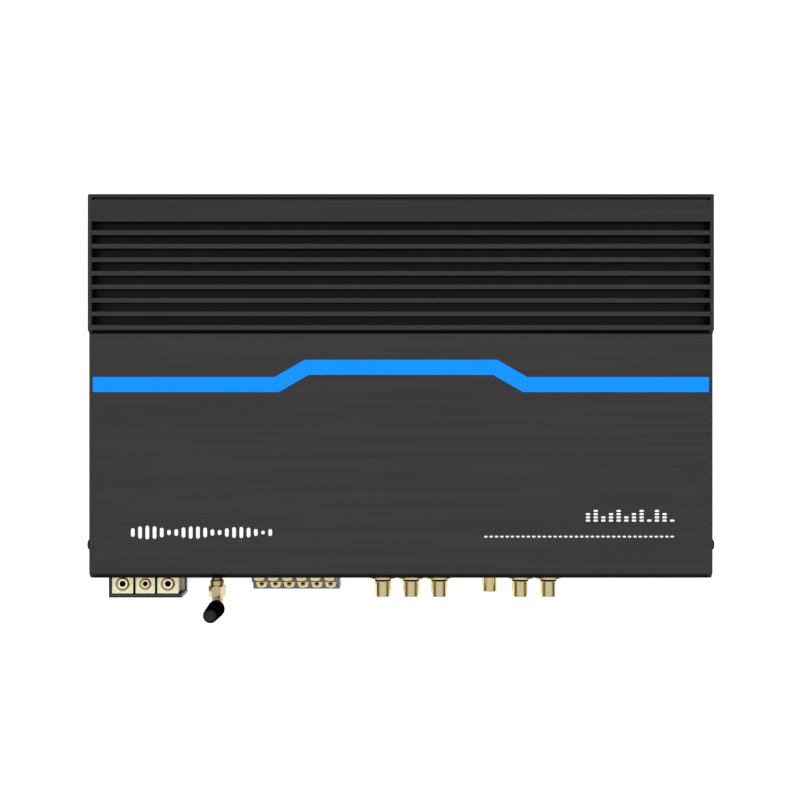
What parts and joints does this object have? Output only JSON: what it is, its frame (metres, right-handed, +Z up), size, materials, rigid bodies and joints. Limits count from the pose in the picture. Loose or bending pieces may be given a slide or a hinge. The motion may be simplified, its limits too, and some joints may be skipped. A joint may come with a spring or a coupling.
{
  "type": "car amplifier",
  "caption": "Low black finned car amplifier with a blue accent band, gold phono jacks, screw terminals and a stub antenna along one side.",
  "frame": {"origin": "centre of the four mounting holes, on the underside", "axes": "+X along the case, +Z up through the finned top, -Y out of the connector side"},
  "size_m": [0.3244, 0.2209, 0.054],
  "materials": {
    "case_black": "satin anodised black, fine grain along the length",
    "base_black": "matt black",
    "accent_blue": "satin blue",
    "screw_black": "black oxide",
    "plain_steel": "zinc plated",
    "post_brass": "plain",
    "board": "solder mask",
    "chip": "moulded",
    "pad_grey": "soft",
    "can": "sleeved",
    "ferrite": "matt",
    "copper_wire": "enamelled copper",
    "shield": "tinned",
    "lead_black": "cable jacket",
    "terminal_slate": "moulded",
    "socket_black": "moulded",
    "gold": "gold plated",
    "screw_gold": "gold plated",
    "insulator_white": "moulded",
    "lamp": "clear blue",
    "antenna_rubber": "soft satin"
  },
  "bodies": {
    "case": {"heatsink_cover": "case_black", "accent_stripe": "accent_blue", "end_plate_left": "case_black", "end_plate_right": "case_black", "end_plate_screws": "screw_black", "base_plate": "base_black", "base_plate_screws": "screw_black", "mounting_nuts": "plain_steel", "front_panel": "case_black", "main_board": "board", "board_standoffs": "post_brass", "internal_screws": "plain_steel", "amplifier_chips": "chip", "thermal_pads": "pad_grey", "chip_clamp_bar": "plain_steel", "filter_capacitors": "can", "transformer_core": "ferrite", "transformer_winding": "copper_wire", "signal_board": "board", "signal_board_posts": "post_brass", "signal_processor": "chip", "radio_module": "shield", "antenna_lead": "lead_black", "power_terminal_housing": "terminal_slate", "power_terminal_contacts": "gold", "speaker_terminal_housing": "terminal_slate", "speaker_terminal_contacts": "gold", "input_jack_housing": "socket_black", "output_jack_housing": "socket_black", "jack_shells": "gold", "jack_rings": "socket_black", "jack_insulators": "insulator_white", "jack_centre_contacts": "gold", "optical_port": "socket_black", "control_port": "socket_black", "usb_socket": "plain_steel", "status_light": "lamp", "antenna_jack": "gold", "antenna_jack_nut": "gold"},
    "antenna_nut": {"antenna_coupling_nut": "gold"},
    "antenna": {"antenna_elbow": "gold", "antenna_sleeve": "antenna_rubber"},
    "power_pad_left": {"power_pad_left": "screw_gold"},
    "power_screw_left": {"power_screw_left": "screw_gold"},
    "power_pad_middle": {"power_pad_middle": "screw_gold"},
    "power_screw_middle": {"power_screw_middle": "screw_gold"},
    "power_pad_right": {"power_pad_right": "screw_gold"},
    "power_screw_right": {"power_screw_right": "screw_gold"},
    "speaker_screw_01": {"speaker_screw_01": "screw_gold"},
    "speaker_screw_02": {"speaker_screw_02": "screw_gold"},
    "speaker_screw_03": {"speaker_screw_03": "screw_gold"},
    "speaker_screw_04": {"speaker_screw_04": "screw_gold"},
    "speaker_screw_05": {"speaker_screw_05": "screw_gold"},
    "speaker_screw_06": {"speaker_screw_06": "screw_gold"},
    "speaker_screw_07": {"speaker_screw_07": "screw_gold"},
    "speaker_screw_08": {"speaker_screw_08": "screw_gold"},
    "speaker_screw_09": {"speaker_screw_09": "screw_gold"},
    "speaker_screw_10": {"speaker_screw_10": "screw_gold"},
    "speaker_screw_11": {"speaker_screw_11": "screw_gold"},
    "speaker_screw_12": {"speaker_screw_12": "screw_gold"}
  },
  "joints": [
    {"name": "antenna_nut_turn", "type": "hinge", "parent": "case", "child": "antenna_nut", "pos_m": [-0.0979, -0.108, 0.026], "axis": [0, 1, 0], "continuous": true},
    {"name": "antenna_swivel", "type": "hinge", "parent": "case", "child": "antenna", "pos_m": [-0.0979, -0.1178, 0.026], "axis": [0, 1, 0], "continuous": true},
    {"name": "power_pad_left_press", "type": "slide", "parent": "case", "child": "power_pad_left", "axis": [0, 0, -1], "range_m": [0, 0.004]},
    {"name": "power_screw_left_turn", "type": "hinge", "parent": "power_pad_left", "child": "power_screw_left", "pos_m": [-0.1473, -0.1044, 0.028], "axis": [0, 0, -1], "range_deg": [0, 1440.5]},
    {"name": "power_pad_middle_press", "type": "slide", "parent": "case", "child": "power_pad_middle", "axis": [0, 0, -1], "range_m": [0, 0.0032]},
    {"name": "power_screw_middle_turn", "type": "hinge", "parent": "power_pad_middle", "child": "power_screw_middle", "pos_m": [-0.1353, -0.1044, 0.028], "axis": [0, 0, -1], "range_deg": [0, 1440.5]},
    {"name": "power_pad_right_press", "type": "slide", "parent": "case", "child": "power_pad_right", "axis": [0, 0, -1], "range_m": [0, 0.004]},
    {"name": "power_screw_right_turn", "type": "hinge", "parent": "power_pad_right", "child": "power_screw_right", "pos_m": [-0.1233, -0.1044, 0.028], "axis": [0, 0, -1], "range_deg": [0, 1440.5]},
    {"name": "speaker_screw_01_turn", "type": "hinge", "parent": "case", "child": "speaker_screw_01", "pos_m": [-0.07422, -0.1051, 0.025], "axis": [0, 0, -1], "range_deg": [0, 1080]},
    {"name": "speaker_screw_02_turn", "type": "hinge", "parent": "case", "child": "speaker_screw_02", "pos_m": [-0.06688, -0.1051, 0.025], "axis": [0, 0, -1], "range_deg": [0, 1080]},
    {"name": "speaker_screw_03_turn", "type": "hinge", "parent": "case", "child": "speaker_screw_03", "pos_m": [-0.05953, -0.1051, 0.025], "axis": [0, 0, -1], "range_deg": [0, 1080]},
    {"name": "speaker_screw_04_turn", "type": "hinge", "parent": "case", "child": "speaker_screw_04", "pos_m": [-0.05217, -0.1051, 0.025], "axis": [0, 0, -1], "range_deg": [0, 1080]},
    {"name": "speaker_screw_05_turn", "type": "hinge", "parent": "case", "child": "speaker_screw_05", "pos_m": [-0.04482, -0.1051, 0.025], "axis": [0, 0, -1], "range_deg": [0, 1080]},
    {"name": "speaker_screw_06_turn", "type": "hinge", "parent": "case", "child": "speaker_screw_06", "pos_m": [-0.03748, -0.1051, 0.025], "axis": [0, 0, -1], "range_deg": [0, 1080]},
    {"name": "speaker_screw_07_turn", "type": "hinge", "parent": "case", "child": "speaker_screw_07", "pos_m": [-0.07422, -0.0996, 0.0375], "axis": [0, 0, -1], "range_deg": [0, 1080]},
    {"name": "speaker_screw_08_turn", "type": "hinge", "parent": "case", "child": "speaker_screw_08", "pos_m": [-0.06688, -0.0996, 0.0375], "axis": [0, 0, -1], "range_deg": [0, 1080]},
    {"name": "speaker_screw_09_turn", "type": "hinge", "parent": "case", "child": "speaker_screw_09", "pos_m": [-0.05953, -0.0996, 0.0375], "axis": [0, 0, -1], "range_deg": [0, 1080]},
    {"name": "speaker_screw_10_turn", "type": "hinge", "parent": "case", "child": "speaker_screw_10", "pos_m": [-0.05217, -0.0996, 0.0375], "axis": [0, 0, -1], "range_deg": [0, 1080]},
    {"name": "speaker_screw_11_turn", "type": "hinge", "parent": "case", "child": "speaker_screw_11", "pos_m": [-0.04482, -0.0996, 0.0375], "axis": [0, 0, -1], "range_deg": [0, 1080]},
    {"name": "speaker_screw_12_turn", "type": "hinge", "parent": "case", "child": "speaker_screw_12", "pos_m": [-0.03748, -0.0996, 0.0375], "axis": [0, 0, -1], "range_deg": [0, 1080]}
  ],
  "couplings": [
    {"joint": "power_screw_left_turn", "follows": "power_pad_left_press", "rad_per_m": 6283.2},
    {"joint": "power_screw_middle_turn", "follows": "power_pad_middle_press", "rad_per_m": 7854},
    {"joint": "power_screw_right_turn", "follows": "power_pad_right_press", "rad_per_m": 6283.2}
  ]
}
